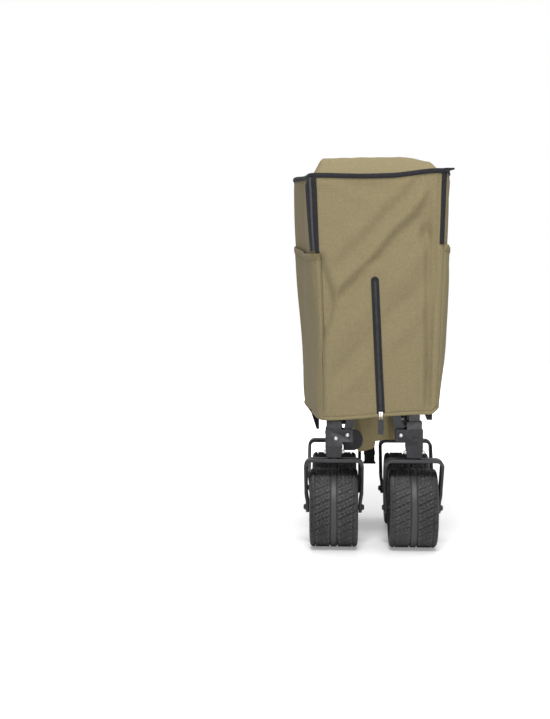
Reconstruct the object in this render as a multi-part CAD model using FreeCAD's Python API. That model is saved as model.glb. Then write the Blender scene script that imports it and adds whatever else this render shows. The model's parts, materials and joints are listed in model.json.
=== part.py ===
import FreeCAD, Part
import math
import os

os.makedirs("parts", exist_ok=True)

# Folded beach wagon inside its transport cover, standing on four wide casters.
# Millimetres. +Z up, +Y towards the pull handle (front), +X to the right seen from the rear.

# Wheels and casters
wheelRadius = 80.0
tyreWidth = 98.0
rimRadius = 54.0
rimWidth = 84.0
trackHalf = 80.0
axleHalfBase = 122.0
trail = 40.0
axleRadius = 5.0
bearingRadius = 9.0
bearingLength = 14.0
strapThick = 6.5
forkHalf = 60.0
crossbarBottom = 179.5
crossbarTop = 186.0
stemRadius = 6.0
mountBottom = 189.0
mountTop = 212.0
runningFit = 0.05

# Frame
frameMidY = -9.0
postSide = 22.0
postWall = 1.5
postTop = 742.0
lugBottom = 221.0
bracketTop = 246.0
socketTop = 262.0
lowPivotZ = 235.0
highPivotZ = 708.6
pivotInset = 27.0
barWide = 18.0
barThick = 10.0
barLayer = 6.0
pinRadius = 3.0
cheekGap = 24.0
cheekThick = 5.0

# Handle
handleOffset = 34.0
handlePivotZ = 150.0
outerTubeRadius = 9.0
outerTubeTop = 615.0
innerTubeRadius = 7.45
innerTubeBottom = 200.0
gripZ = 752.0
gripHalf = 55.0
gripRadius = 12.0

# Transport cover
hemZ = 266.0
coverTopZ = 752.0
humpTopZ = 800.0
fabricThick = 2.5
coverRearY = -200.0
coverFrontY = 209.4
pocketTopZ = 602.0
pocketStandOff = 6.0
zipTop = (-0.5, 549.0)
zipBottom = (12.8, 273.0)
zipWide = 15.0
sliderShare = 0.02

vec = FreeCAD.Vector
axleY = {"rear": frameMidY - axleHalfBase, "front": frameMidY + axleHalfBase}
swivelY = {"rear": axleY["rear"] - trail, "front": axleY["front"] + trail}
sides = {"left": -1, "right": 1}
corners = [(end, side) for end in swivelY for side in sides]


def save(name, shape):
    shape.exportStep("parts/" + name + ".step")


def block(x0, x1, y0, y1, z0, z1):
    return Part.makeBox(x1 - x0, y1 - y0, z1 - z0, vec(x0, y0, z0))


def rod(radius, start, end):
    run = vec(*end) - vec(*start)
    return Part.makeCylinder(radius, run.Length, vec(*start), run)


def group(shapes):
    return Part.makeCompound(shapes)


def fused(shapes):
    whole = shapes[0]
    for other in shapes[1:]:
        whole = whole.fuse(other)
    return whole.removeSplitter()


def outline(points):
    return Part.makePolygon([vec(*p) for p in points] + [vec(*points[0])])


def hexagon(acrossFlats, x0, x1, y, z):
    """Prism with six sides along X."""
    r = acrossFlats / math.sqrt(3)
    turns = [math.radians(60 * i) for i in range(6)]
    wire = outline([(x0, y + r * math.cos(a), z + r * math.sin(a)) for a in turns])
    return Part.Face(wire).extrude(vec(x1 - x0, 0, 0))


# ---- casters and wheels ----

def tyre(x, y):
    half = tyreWidth / 2
    shoulder = 9.0
    groove = 2.5
    arcMid = shoulder * (1 - math.sqrt(0.5))
    left = Part.Arc(vec(-half, 0, wheelRadius - shoulder),
                    vec(-half + arcMid, 0, wheelRadius - arcMid),
                    vec(-half + shoulder, 0, wheelRadius)).toShape()
    right = Part.Arc(vec(half - shoulder, 0, wheelRadius),
                     vec(half - arcMid, 0, wheelRadius - arcMid),
                     vec(half, 0, wheelRadius - shoulder)).toShape()
    seat = rimWidth / 2
    crown = Part.makeLine(vec(-half + shoulder, 0, wheelRadius), vec(half - shoulder, 0, wheelRadius))
    ends = [(half, wheelRadius - shoulder), (half, rimRadius + 4), (seat, rimRadius),
            (-seat, rimRadius), (-half, rimRadius + 4), (-half, wheelRadius - shoulder)]
    lines = [Part.makeLine(vec(a[0], 0, a[1]), vec(b[0], 0, b[1])) for a, b in zip(ends, ends[1:])]
    profile = Part.Face(Part.Wire([left, crown, right] + lines))
    body = profile.revolve(vec(0, 0, 0), vec(1, 0, 0), 360)
    for gx in (-9.0, 9.0):
        ring = Part.makeCylinder(wheelRadius + 1, 2.0, vec(gx - 1, 0, 0), vec(1, 0, 0))
        ring = ring.cut(Part.makeCylinder(wheelRadius - groove, 2.0, vec(gx - 1, 0, 0), vec(1, 0, 0)))
        body = body.cut(ring)
    body.translate(vec(x, y, wheelRadius))
    return body


def rim(x, y):
    half = rimWidth / 2
    barrel = rod(rimRadius, (-half, 0, 0), (half, 0, 0))
    for sign in (-1, 1):
        dish = rod(rimRadius - 4, (sign * 6, 0, 0), (sign * (half + 1), 0, 0))
        barrel = barrel.cut(dish)
    hub = rod(15.0, (-half - 2, 0, 0), (half + 2, 0, 0))
    whole = barrel.fuse(hub)
    for i in range(6):
        a = math.radians(60 * i + 30)
        at = (34 * math.cos(a), 34 * math.sin(a))
        whole = whole.cut(rod(9.0, (-10, at[0], at[1]), (10, at[0], at[1])))
    whole = whole.cut(rod(axleRadius + 1.0, (-half - 3, 0, 0), (half + 3, 0, 0)))
    for sign in (-1, 1):
        end = sign * (half + 3)
        whole = whole.cut(rod(bearingRadius, (end - sign * (bearingLength + 1), 0, 0), (end, 0, 0)))
    whole.translate(vec(x, y, wheelRadius))
    return whole


def bearings(x, y):
    pair = []
    for sign in (-1, 1):
        end = sign * (rimWidth / 2 + 2)
        ring = rod(bearingRadius, (end, 0, 0), (end - sign * bearingLength, 0, 0))
        ring = ring.cut(rod(axleRadius + runningFit, (end + sign, 0, 0), (end - sign * 20, 0, 0)))
        ring.translate(vec(x, y, wheelRadius))
        pair.append(ring)
    return group(pair)


def fork(x, pivotY, footY):
    """Bent strap over the wheel: the axle trails inboard of the swivel."""
    shapes = [block(x - forkHalf, x + forkHalf, pivotY - 17, pivotY + 17, crossbarBottom, crossbarTop)]
    kneeZ = 118
    for sign in (-1, 1):
        x0 = x + sign * (forkHalf - strapThick)
        leg = outline([(x0, pivotY - 17, crossbarTop), (x0, pivotY + 17, crossbarTop),
                       (x0, footY + 17, kneeZ), (x0, footY + 11, wheelRadius),
                       (x0, footY - 11, wheelRadius), (x0, footY - 17, kneeZ)])
        shapes.append(Part.Face(leg).extrude(vec(sign * strapThick, 0, 0)))
        foot = (x0 + sign * strapThick, footY, wheelRadius)
        shapes.append(rod(11.0, (x0, footY, wheelRadius), foot))
    whole = fused(shapes)
    bolt = rod(axleRadius, (x - 70, footY, wheelRadius), (x + 70, footY, wheelRadius))
    stem = rod(stemRadius, (x, pivotY, crossbarBottom - 1), (x, pivotY, crossbarTop + 1))
    return whole.cut(bolt).cut(stem)


def axle(x, y):
    end = forkHalf + 3
    z = wheelRadius
    bolt = rod(axleRadius, (x - end, y, z), (x + end, y, z))
    pieces = [bolt]
    for sign in (-1, 1):
        inner = x + sign * (rimWidth / 2 + 2.6)
        outer = x + sign * (forkHalf - strapThick)
        spacer = rod(8.0, (inner, y, z), (outer, y, z))
        nut = hexagon(15.0, x + sign * forkHalf, x + sign * (forkHalf + 5), y, z)
        pieces += [spacer.cut(bolt), nut.cut(bolt)]
    return group(pieces)


def stem(x, y):
    pin = rod(stemRadius, (x, y, crossbarBottom), (x, y, mountTop - 7))
    cap = rod(13.0, (x, y, crossbarTop), (x, y, mountBottom - 0.3))
    return pin.fuse(cap).removeSplitter()


def mount(x, y):
    top = outline([(x - 17.5, y - 17.5, mountTop), (x + 17.5, y - 17.5, mountTop),
                   (x + 17.5, y + 17.5, mountTop), (x - 17.5, y + 17.5, mountTop)])
    low = outline([(x - 14, y - 14, mountBottom), (x + 14, y - 14, mountBottom),
                   (x + 14, y + 14, mountBottom), (x - 14, y + 14, mountBottom)])
    body = Part.makeLoft([low, top], True, True)
    return body.cut(rod(stemRadius + runningFit, (x, y, mountBottom - 1), (x, y, mountTop - 6)))


def mountRivets(x, y):
    z = (mountBottom + mountTop) / 2
    reach = 16.4
    return [rod(3.6, (x + s * reach, y, z), (x + s * (reach + 2.6), y, z)) for s in (-1, 1)]


# ---- folding frame ----

def post(x, y):
    half = postSide / 2
    tube = block(x - half, x + half, y - half, y + half, mountTop, postTop)
    inside = half - postWall
    return tube.cut(block(x - inside, x + inside, y - inside, y + inside, mountTop - 1, postTop + 1))


def postCap(x, y):
    half = postSide / 2
    plug = half - postWall
    top = block(x - half, x + half, y - half, y + half, postTop, postTop + 4)
    return top.fuse(block(x - plug, x + plug, y - plug, y + plug, postTop - 12, postTop))


def cheeks(x, y, inX, inY, z0, z1):
    """Two pairs of lugs that hold the scissor bars beside a post."""
    half = postSide / 2
    reach = pivotInset + 10
    gap = cheekGap / 2
    lugs = []
    for sign in (-1, 1):
        a = sorted([x + inX * half, x + inX * reach])
        b = sorted([y + sign * gap, y + sign * (gap + cheekThick)])
        lugs.append(block(a[0], a[1], b[0], b[1], z0, z1))
        a = sorted([x + sign * gap, x + sign * (gap + cheekThick)])
        b = sorted([y + inY * half, y + inY * reach])
        lugs.append(block(a[0], a[1], b[0], b[1], z0, z1))
    return lugs


def pivotHoles(x, y, inX, inY, z):
    endPin = rod(pinRadius, (x + inX * pivotInset, y - 30, z), (x + inX * pivotInset, y + 30, z))
    sidePin = rod(pinRadius, (x - 30, y + inY * pivotInset, z), (x + 30, y + inY * pivotInset, z))
    return endPin, sidePin


def knuckle(x, y, inX, inY, z0, lugZ, z1, sleeveTop, fit, z, extra=()):
    """Moulded block round a post, with the lugs for one end bar and one side bar."""
    half = postSide / 2
    out = cheekGap / 2 + cheekThick
    shapes = [block(x - out, x + out, y - out, y + out, z0, z1)]
    shapes += cheeks(x, y, inX, inY, lugZ, z1)
    if sleeveTop > z1:
        shapes.append(block(x - half - 4, x + half + 4, y - half - 4, y + half + 4, z1, sleeveTop))
    shapes += list(extra)
    body = fused(shapes)
    bore = half + fit
    body = body.cut(block(x - bore, x + bore, y - bore, y + bore, z0 - 1, sleeveTop + z1))
    for hole in pivotHoles(x, y, inX, inY, z):
        body = body.cut(hole)
    return body


def guard():
    """Round-ended plate behind the left rear bracket, which keeps the cloth off the pivot."""
    low, high = 200, 243
    radius = (high - low) / 2
    y0 = swivelY["rear"] + cheekGap / 2 + cheekThick
    middle = (low + high) / 2
    plate = block(-61, -43, y0, y0 + 5, low, high)
    return plate.fuse(rod(radius, (-43, y0, middle), (-43, y0 + 5, middle))).removeSplitter()


def scissorBar(start, end, pinAxis):
    """Flat tube between two pivots, turned about the given axis and drilled at both ends and the middle."""
    a = vec(*start)
    b = vec(*end)
    length = (b - a).Length
    bar = Part.makeBox(barWide, barThick, length, vec(-barWide / 2, -barThick / 2, 0))
    for z in (0, length):
        bar = bar.fuse(rod(barWide / 2, (0, -barThick / 2, z), (0, barThick / 2, z)))
    for z in (0, length / 2, length):
        bar = bar.cut(rod(pinRadius, (0, -barThick, z), (0, barThick, z)))
    bar = bar.removeSplitter()
    if pinAxis == "x":
        bar.rotate(vec(0, 0, 0), vec(0, 0, 1), 90)
    run = b - a
    if pinAxis == "x":
        bar.rotate(vec(0, 0, 0), vec(1, 0, 0), -math.degrees(math.atan2(run.y, run.z)))
    else:
        bar.rotate(vec(0, 0, 0), vec(0, 1, 0), math.degrees(math.atan2(run.x, run.z)))
    bar.translate(a)
    return bar


def endBars(y):
    x = trackHalf - pivotInset
    first = scissorBar((-x, y - barLayer, lowPivotZ), (x, y - barLayer, highPivotZ), "y")
    second = scissorBar((x, y + barLayer, lowPivotZ), (-x, y + barLayer, highPivotZ), "y")
    return [first, second]


def sideBars(x):
    rearY = swivelY["rear"] + pivotInset
    frontY = swivelY["front"] - pivotInset
    bars = []
    for nearY, farY in ((rearY, frameMidY), (frameMidY, frontY)):
        bars.append(scissorBar((x - barLayer, nearY, lowPivotZ), (x - barLayer, farY, highPivotZ), "x"))
        bars.append(scissorBar((x + barLayer, farY, lowPivotZ), (x + barLayer, nearY, highPivotZ), "x"))
    return bars


def scissorPins():
    """Rivets of all the bars, each one through both layers of bar and both lugs."""
    reach = cheekGap / 2 + cheekThick + 1.5
    midZ = (lowPivotZ + highPivotZ) / 2
    short = barLayer + barThick / 2 + 1.5
    pins = []
    for y in swivelY.values():
        for x in (-1, 1):
            for z in (lowPivotZ, highPivotZ):
                at = x * (trackHalf - pivotInset)
                pins.append(rod(pinRadius, (at, y - reach, z), (at, y + reach, z)))
        pins.append(rod(pinRadius, (0, y - short, midZ), (0, y + short, midZ)))
    rearY = swivelY["rear"] + pivotInset
    frontY = swivelY["front"] - pivotInset
    for x in (-trackHalf, trackHalf):
        for y in (rearY, frontY):
            for z in (lowPivotZ, highPivotZ):
                pins.append(rod(pinRadius, (x - reach, y, z), (x + reach, y, z)))
        for z in (lowPivotZ, highPivotZ):
            pins.append(rod(pinRadius, (x - short, frameMidY, z), (x + short, frameMidY, z)))
        for y in ((rearY + frameMidY) / 2, (frameMidY + frontY) / 2):
            pins.append(rod(pinRadius, (x - short, y, midZ), (x + short, y, midZ)))
    return group(pins)


def bracketRivets():
    """One bright rivet head on the outer face of each end's left bracket."""
    out = cheekGap / 2 + cheekThick
    heads = []
    for end, sign in (("rear", -1), ("front", 1)):
        y = swivelY[end] + sign * out
        heads.append(rod(3.8, (-76, y, 228), (-76, y + sign * 2.2, 228)))
    return heads


# ---- pull handle ----

handleY = swivelY["front"] + handleOffset


def handleBracket():
    y = handleY
    back = block(-11.5, 11.5, y - 14, y - 11, 129, 176)
    plate = block(-14, 14, y - 14, y + 11, 126, 129)
    walls = [block(sorted((s * 9.5, s * 11.5))[0], sorted((s * 9.5, s * 11.5))[1], y - 14, y + 11, 129, 176)
             for s in (-1, 1)]
    body = fused([back, plate] + walls)
    return body.cut(rod(pinRadius, (-20, y, handlePivotZ), (20, y, handlePivotZ)))


def handleStays():
    """Two links that hang the handle bracket from the front corner brackets."""
    y0 = swivelY["front"] + cheekGap / 2 + cheekThick
    depth = handleY - 14 - y0
    pivotX = trackHalf - pivotInset
    stays = []
    for sign in (-1, 1):
        points = ((58, 243), (46, 243), (4, 203), (0.5, 196), (0.5, 160), (6.5, 160), (12, 189), (58, 229))
        wire = outline([(sign * x, y0, z) for x, z in points])
        stay = Part.Face(wire).extrude(vec(0, depth, 0))
        hole = rod(pinRadius, (sign * pivotX, y0 - 5, lowPivotZ), (sign * pivotX, y0 + 9, lowPivotZ))
        stays.append(stay.cut(hole))
    return group(stays)


def handlePivotPin():
    y = handleY
    pin = rod(pinRadius, (-11.5, y, handlePivotZ), (11.5, y, handlePivotZ))
    for sign in (-1, 1):
        head = rod(5.0, (sign * 11.5, y, handlePivotZ), (sign * 13.2, y, handlePivotZ))
        pin = pin.fuse(head)
    return pin.removeSplitter()


def handleOuterTube():
    y = handleY
    tube = rod(outerTubeRadius, (0, y, handlePivotZ - 12), (0, y, outerTubeTop))
    tube = tube.cut(rod(innerTubeRadius + runningFit, (0, y, innerTubeBottom - 20), (0, y, outerTubeTop + 1)))
    return tube.cut(rod(pinRadius, (-20, y, handlePivotZ), (20, y, handlePivotZ)))


def handleCollar():
    y = handleY
    ring = rod(13.0, (0, y, outerTubeTop - 22), (0, y, outerTubeTop + 14))
    ring = ring.cut(rod(outerTubeRadius, (0, y, outerTubeTop - 23), (0, y, outerTubeTop)))
    ring = ring.cut(rod(innerTubeRadius + 0.1, (0, y, outerTubeTop - 1), (0, y, outerTubeTop + 20)))
    return ring.cut(rod(4.0, (0, y + 5, outerTubeTop + 7), (0, y + 20, outerTubeTop + 7)))


def handleLockButton():
    y = handleY
    return rod(3.95, (0, y + 11.5, outerTubeTop + 7), (0, y + 16, outerTubeTop + 7))


def handleInnerTube():
    y = handleY
    tube = rod(innerTubeRadius, (0, y, innerTubeBottom), (0, y, gripZ - gripRadius + 4))
    return tube.cut(rod(innerTubeRadius - 1.2, (0, y, innerTubeBottom - 1), (0, y, gripZ - gripRadius - 10)))


def handleGrip():
    y = handleY
    bar = rod(gripRadius, (-gripHalf, y, gripZ), (gripHalf, y, gripZ))
    bar = bar.fuse([Part.makeSphere(gripRadius, vec(s * gripHalf, y, gripZ)) for s in (-1, 1)])
    neck = rod(11.0, (0, y, gripZ - 30), (0, y, gripZ))
    socket = rod(innerTubeRadius, (0, y, gripZ - 40), (0, y, gripZ - gripRadius + 4))
    return bar.fuse(neck).removeSplitter().cut(socket)


# ---- transport cover ----

def coverPlan(t, grow):
    """Corners of the cover's outline: t is 0 at the hem and 1 at the top edge."""
    rearLeft = -110 - 18 * t
    rearRight = 128 + 15 * t
    frontHalf = 150 + 26 * t
    return [(rearLeft - grow, coverRearY - grow), (rearRight + grow, coverRearY - grow),
            (frontHalf + grow, coverFrontY - 40 + grow), (frontHalf - 40 + grow, coverFrontY + grow),
            (-frontHalf + 40 - grow, coverFrontY + grow), (-frontHalf - grow, coverFrontY - 40 + grow)]


def heightShare(z):
    return (z - hemZ) / (coverTopZ - hemZ)


def wallPiece(first, last, z0, z1, outer, inner):
    """Sewn panel that runs round the outline from one corner to another."""
    wires = []
    for z in (z0, z1):
        outside = coverPlan(heightShare(z), outer)
        inside = coverPlan(heightShare(z), inner)
        count = len(outside)
        turn = [i % count for i in range(first, last + 1)]
        ring = [outside[i] for i in turn] + [inside[i] for i in reversed(turn)]
        wires.append(outline([(x, y, z) for x, y in ring]))
    return Part.makeLoft(wires, True, True)


def pocket(first, last):
    """Patch pocket: a skin that stands off the side panel, closed at its bottom."""
    outer = pocketStandOff
    skin = wallPiece(first, last, hemZ, pocketTopZ, outer, outer - 2)
    floor = wallPiece(first, last, hemZ, hemZ + 3, outer - 2, 0)
    return skin.fuse(floor).removeSplitter()


def topPanel():
    """Soft crown over the folded frame, hollow underneath."""
    def crown(drop, thin):
        wires = []
        for z, inset in ((coverTopZ, 0), (humpTopZ - 14, 24), (humpTopZ, 90)):
            ring = coverPlan(1, -inset - thin)
            wires.append(outline([(x, y, z - drop) for x, y in ring]))
        return fused([Part.makeLoft(list(pair), True, True) for pair in zip(wires, wires[1:])])
    return crown(0, 0).cut(crown(fabricThick, fabricThick))


def edgeBinding():
    z0 = coverTopZ - 9
    rings = []
    for grow in (1.6, 0):
        wires = [outline([(x, y, z) for x, y in coverPlan(heightShare(z), grow)]) for z in (z0, coverTopZ)]
        rings.append(Part.makeLoft(wires, True, True))
    strips = [rings[0].cut(rings[1])]
    for x, z0 in ((-121, 606), (-110, 606), (130, 610)):
        strips.append(block(x, x + 8, coverRearY - 1.6, coverRearY, z0, coverTopZ - 9))
    return group(strips)


def along(start, end, share):
    return [start[i] + (end[i] - start[i]) * share for i in range(2)]


def zipTape():
    y = coverRearY
    half = zipWide / 2
    top, low = zipTop, zipBottom
    wire = outline([(low[0] - half, y, low[1]), (low[0] + half, y, low[1]),
                    (top[0] + half, y, top[1]), (top[0] - half, y, top[1])])
    return Part.Face(wire).extrude(vec(0, -1.5, 0))


def zipSlider():
    x, z = along(zipBottom, zipTop, sliderShare)
    y = coverRearY - 1.8
    body = block(x - 4.5, x + 4.5, y - 4, y, z - 6, z + 5)
    loop = block(x - 2, x + 2, y - 7, y - 4, z - 6, z - 1)
    return body.fuse(loop).removeSplitter()


def zipPull():
    x, z = along(zipBottom, zipTop, sliderShare)
    y = coverRearY - 1.8
    shapes = [block(x - 5.5, x + 5.5, y - 6.4, y - 4.6, z - 40, z - 10)]
    for sign in (-1, 1):
        a, b = sorted([x + sign * 2.3, x + sign * 3.3])
        shapes.append(block(a, b, y - 6.2, y - 4.8, z - 10, z - 6))
        shapes.append(rod(0.9, (a, y - 5.5, z - 6), (b, y - 5.5, z - 6)))
    return fused(shapes)


def hemTabs():
    left = block(-131, -114, -60, -57, hemZ - 36, hemZ)
    right = block(98, 114, coverRearY, coverRearY + fabricThick, hemZ - 7, hemZ)
    return group([left, right])


def tubFabric():
    """The wagon's own cloth tub, bunched between the folded bars and hanging below them."""
    rearY = frameMidY - axleHalfBase
    levels = ((194, -34, -20, 16), (218, -40, 50, 40), (245, -42, 52, 70), (330, -60, 60, 244), (728, -60, 60, 244))
    wires = []
    for z, x0, x1, deep in levels:
        y0, y1 = rearY, rearY + deep
        wires.append(outline([(x0, y0, z), (x1, y0, z), (x1, y1, z), (x0, y1, z)]))
    return Part.makeLoft(wires, True, True)


def buildCorner(end, side):
    x = sides[side] * trackHalf
    pivotY = swivelY[end]
    footY = axleY[end]
    name = end + "_" + side
    save("tyre_" + name, tyre(x, footY))
    save("rim_" + name, rim(x, footY))
    save("bearings_" + name, bearings(x, footY))
    save("fork_" + name, fork(x, pivotY, footY))
    save("axle_" + name, axle(x, footY))
    save("swivel_stem_" + name, stem(x, pivotY))
    save("post_" + name, post(x, pivotY))


def buildFrame():
    at = [(sides[side] * trackHalf, swivelY[end], -sides[side], 1 if end == "rear" else -1)
          for end, side in corners]
    save("post_caps", group([postCap(x, y) for x, y, inX, inY in at]))
    z0, z1 = highPivotZ - 13, highPivotZ + 13
    save("post_sliders", group([knuckle(x, y, inX, inY, z0, z0, z1, z1, 0.3, highPivotZ) for x, y, inX, inY in at]))
    rivets = bracketRivets()
    for x, y, inX, inY in at:
        rivets += mountRivets(x, y)
    save("rivet_heads", group(rivets))
    save("caster_mounts", group([mount(x, y) for x, y, inX, inY in at]))
    for end, y in swivelY.items():
        pair = []
        for x, cornerY, inX, inY in at:
            if cornerY == y:
                extra = [guard()] if end == "rear" and x < 0 else []
                pair.append(knuckle(x, y, inX, inY, mountTop, lugBottom, bracketTop, socketTop, 0, lowPivotZ, extra))
        save("brackets_" + end, group(pair))
    save("scissor_pins", scissorPins())
    for end, y in swivelY.items():
        save("end_bars_" + end, group(endBars(y)))
    for side, sign in sides.items():
        save("side_bars_" + side, group(sideBars(sign * trackHalf)))
    save("tub_fabric", tubFabric())


def buildHandle():
    save("handle_bracket", handleBracket())
    save("handle_stays", handleStays())
    save("handle_pivot_pin", handlePivotPin())
    save("handle_outer_tube", handleOuterTube())
    save("handle_collar", handleCollar())
    save("handle_lock_button", handleLockButton())
    save("handle_inner_tube", handleInnerTube())
    save("handle_grip", handleGrip())


def buildCover():
    thin = -fabricThick
    save("cover_rear_panel", wallPiece(0, 1, hemZ, coverTopZ, 0, thin))
    save("cover_right_panel", wallPiece(1, 2, hemZ, coverTopZ, 0, thin))
    save("cover_front_panel", wallPiece(2, 5, hemZ, coverTopZ, 0, thin))
    save("cover_left_panel", wallPiece(5, 6, hemZ, coverTopZ, 0, thin))
    save("cover_top_panel", topPanel())
    save("cover_edge_binding", edgeBinding())
    save("cover_pocket_left", pocket(5, 6))
    save("cover_pocket_right", pocket(1, 2))
    save("cover_hem_tabs", hemTabs())
    save("zip_tape", zipTape())
    save("zip_slider", zipSlider())
    save("zip_pull_tab", zipPull())


for end, side in corners:
    buildCorner(end, side)
buildFrame()
buildHandle()
buildCover()
print("nodes:", len(os.listdir("parts")))
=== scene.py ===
import json
import math
import bpy
import bmesh
from mathutils import Matrix, Vector, noise


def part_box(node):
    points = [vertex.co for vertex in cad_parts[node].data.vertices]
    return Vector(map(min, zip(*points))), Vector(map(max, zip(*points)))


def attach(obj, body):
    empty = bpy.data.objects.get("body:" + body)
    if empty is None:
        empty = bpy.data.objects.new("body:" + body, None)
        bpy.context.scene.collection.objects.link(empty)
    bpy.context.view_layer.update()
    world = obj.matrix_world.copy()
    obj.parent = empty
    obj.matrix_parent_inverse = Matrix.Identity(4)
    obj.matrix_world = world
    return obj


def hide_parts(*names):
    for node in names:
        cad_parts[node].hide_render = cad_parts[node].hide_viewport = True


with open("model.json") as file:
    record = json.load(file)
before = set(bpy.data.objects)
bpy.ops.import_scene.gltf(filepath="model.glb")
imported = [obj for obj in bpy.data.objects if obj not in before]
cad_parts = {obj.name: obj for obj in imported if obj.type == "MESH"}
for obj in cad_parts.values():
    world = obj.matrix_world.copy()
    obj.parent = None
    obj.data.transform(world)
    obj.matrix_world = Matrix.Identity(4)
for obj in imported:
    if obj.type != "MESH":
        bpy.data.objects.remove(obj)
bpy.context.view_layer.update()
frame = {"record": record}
scene = bpy.context.scene
corners = [(end, side) for end in ("rear", "front") for side in ("left", "right")]


def newGroup(name, inputs, outputs):
    group = bpy.data.node_groups.new(name, "ShaderNodeTree")
    for label, kind, value in inputs:
        socket = group.interface.new_socket(label, in_out="INPUT", socket_type=kind)
        if value is not None:
            socket.default_value = value
    for label, kind in outputs:
        group.interface.new_socket(label, in_out="OUTPUT", socket_type=kind)
    return group, group.nodes.new("NodeGroupInput"), group.nodes.new("NodeGroupOutput")


def math2(nodes, links, operation, a, b):
    node = nodes.new("ShaderNodeMath")
    node.operation = operation
    for socket, value in ((node.inputs[0], a), (node.inputs[1], b)):
        if isinstance(value, (int, float)):
            socket.default_value = value
        elif value is not None:
            links.new(value, socket)
    return node.outputs[0]


def buildWeave():
    group, source, out = newGroup(
        "weave",
        [("Vector", "NodeSocketVector", None), ("Threads", "NodeSocketFloat", 900.0)],
        [("Height", "NodeSocketFloat"), ("Mottle", "NodeSocketFloat")])
    nodes, links = group.nodes, group.links
    bands = []
    for stretch in ((1.0, 1.0, 0.09), (0.09, 0.09, 1.0)):  # warp and weft as two crossed sets of slubs
        drawn = nodes.new("ShaderNodeMapping")
        drawn.inputs["Scale"].default_value = stretch
        links.new(source.outputs["Vector"], drawn.inputs["Vector"])
        slub = nodes.new("ShaderNodeTexNoise")
        slub.inputs["Detail"].default_value = 2.0
        links.new(drawn.outputs["Vector"], slub.inputs["Vector"])
        links.new(source.outputs["Threads"], slub.inputs["Scale"])
        bands.append(slub.outputs["Fac"])
    links.new(math2(nodes, links, "MULTIPLY", bands[0], bands[1]), out.inputs["Height"])
    cloud = nodes.new("ShaderNodeTexNoise")
    cloud.inputs["Scale"].default_value = 240.0
    cloud.inputs["Detail"].default_value = 6.0
    cloud.inputs["Roughness"].default_value = 0.7
    links.new(source.outputs["Vector"], cloud.inputs["Vector"])
    links.new(cloud.outputs["Fac"], out.inputs["Mottle"])
    return group


def buildGrain():
    group, source, out = newGroup(
        "grain",
        [("Vector", "NodeSocketVector", None), ("Fine", "NodeSocketFloat", 900.0),
         ("Broad", "NodeSocketFloat", 14.0)],
        [("Height", "NodeSocketFloat"), ("Patch", "NodeSocketFloat")])
    nodes, links = group.nodes, group.links
    for label, detail, target in (("Fine", 2.0, "Height"), ("Broad", 5.0, "Patch")):
        cloud = nodes.new("ShaderNodeTexNoise")
        cloud.inputs["Detail"].default_value = detail
        links.new(source.outputs["Vector"], cloud.inputs["Vector"])
        links.new(source.outputs[label], cloud.inputs["Scale"])
        links.new(cloud.outputs["Fac"], out.inputs[target])
    return group


# painted highlight: a mask of the convex edges, found by pointiness and broken up by noise, for lighter paint
def buildEdgeHighlight():
    group, source, out = newGroup(
        "paintedEdgeHighlight",
        [("Vector", "NodeSocketVector", None), ("Start", "NodeSocketFloat", 0.54)],
        [("Mask", "NodeSocketFloat")])
    nodes, links = group.nodes, group.links
    shape = nodes.new("ShaderNodeNewGeometry")
    cloud = nodes.new("ShaderNodeTexNoise")
    cloud.inputs["Scale"].default_value = 160.0
    links.new(source.outputs["Vector"], cloud.inputs["Vector"])
    edge = math2(nodes, links, "SUBTRACT", shape.outputs["Pointiness"], source.outputs["Start"])
    edge = math2(nodes, links, "MULTIPLY", edge, 12.0)
    edgeLit = nodes.new("ShaderNodeMath")
    edgeLit.operation = "MULTIPLY"
    edgeLit.use_clamp = True
    links.new(edge, edgeLit.inputs[0])
    links.new(cloud.outputs["Fac"], edgeLit.inputs[1])
    links.new(edgeLit.outputs[0], out.inputs["Mask"])
    return group


weave = buildWeave()
grain = buildGrain()
paintedEdgeHighlight = buildEdgeHighlight()


def startMaterial(name):
    material = bpy.data.materials.new(name)
    material.use_nodes = True
    nodes = material.node_tree.nodes
    return material, nodes, material.node_tree.links, nodes["Principled BSDF"]


def placeGroup(nodes, links, group, **values):
    node = nodes.new("ShaderNodeGroup")
    node.node_tree = group
    place = nodes.new("ShaderNodeTexCoord")
    links.new(place.outputs["Object"], node.inputs["Vector"])
    for label, value in values.items():
        node.inputs[label].default_value = value
    return node


def mixColours(nodes, links, factor, dark, light):
    ramp = nodes.new("ShaderNodeValToRGB")
    ramp.color_ramp.elements[0].position = 0.3
    ramp.color_ramp.elements[1].position = 0.7
    ramp.color_ramp.elements[0].color = (*dark, 1)
    ramp.color_ramp.elements[1].color = (*light, 1)
    links.new(factor, ramp.inputs["Fac"])
    return ramp.outputs["Color"]


def bumpFrom(nodes, links, shader, height, strength, distance):
    bump = nodes.new("ShaderNodeBump")
    bump.inputs["Strength"].default_value = strength
    bump.inputs["Distance"].default_value = distance
    links.new(height, bump.inputs["Height"])
    links.new(bump.outputs["Normal"], shader.inputs["Normal"])


def clothMaterial(name, dark, light, threads, sheen, depth):
    material, nodes, links, shader = startMaterial(name)
    cloth = placeGroup(nodes, links, weave, Threads=threads)
    tone = math2(nodes, links, "ADD", math2(nodes, links, "MULTIPLY", cloth.outputs["Height"], 0.35),
                 math2(nodes, links, "MULTIPLY", cloth.outputs["Mottle"], 0.8))
    links.new(mixColours(nodes, links, tone, dark, light), shader.inputs["Base Color"])
    rough = math2(nodes, links, "ADD", math2(nodes, links, "MULTIPLY", cloth.outputs["Mottle"], 0.15), 0.72)
    links.new(rough, shader.inputs["Roughness"])
    shader.inputs["Sheen Weight"].default_value = sheen
    shader.inputs["Specular IOR Level"].default_value = 0.15
    height = math2(nodes, links, "ADD", cloth.outputs["Height"], cloth.outputs["Mottle"])
    bumpFrom(nodes, links, shader, height, 0.5, depth)
    return material


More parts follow.
